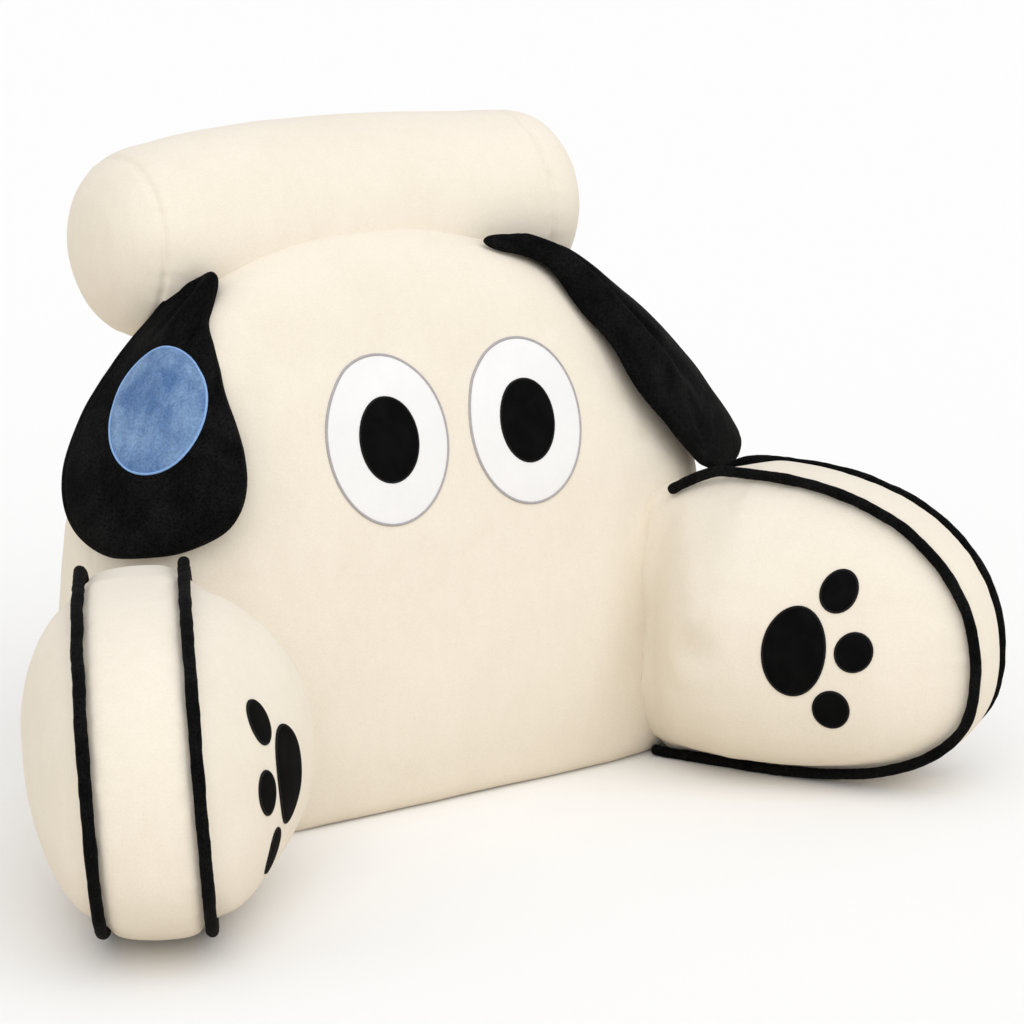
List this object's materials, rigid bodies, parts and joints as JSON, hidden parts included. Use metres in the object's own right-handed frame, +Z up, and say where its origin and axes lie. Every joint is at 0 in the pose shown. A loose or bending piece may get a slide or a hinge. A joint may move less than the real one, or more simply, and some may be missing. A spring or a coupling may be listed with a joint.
{
  "type": "reading pillow with arms",
  "caption": "Upright plush reading pillow with padded arms, a neck roll on top, black piping, drop ears and sewn-on eyes and paw prints.",
  "frame": {"origin": "on the floor under the middle of the pillow, base of the backrest and arms at z = 0", "axes": "+X across the pillow towards the viewer's right, -Y the way the sitter faces, +Z up"},
  "size_m": [0.8118, 0.5112, 0.5235],
  "materials": {
    "cream_plush": "short soft pile",
    "black_plush": "short soft pile",
    "blue_plush": "brushed pile",
    "white_cloth": "smooth cloth"
  },
  "bodies": {
    "root": {"backrest": "cream_plush", "arm_left": "cream_plush", "arm_right": "cream_plush", "bolster": "cream_plush", "piping_inner_left": "black_plush", "piping_inner_right": "black_plush", "piping_outer_left": "black_plush", "piping_outer_right": "black_plush", "ear_left": "black_plush", "ear_right": "black_plush", "ear_patch": "blue_plush", "eye_left": "white_cloth", "eye_right": "white_cloth", "pupil_left": "black_plush", "pupil_right": "black_plush", "palm_left": "black_plush", "toe_1_left": "black_plush", "toe_2_left": "black_plush", "toe_3_left": "black_plush", "palm_right": "black_plush", "toe_1_right": "black_plush", "toe_2_right": "black_plush", "toe_3_right": "black_plush"}
  },
  "joints": []
}
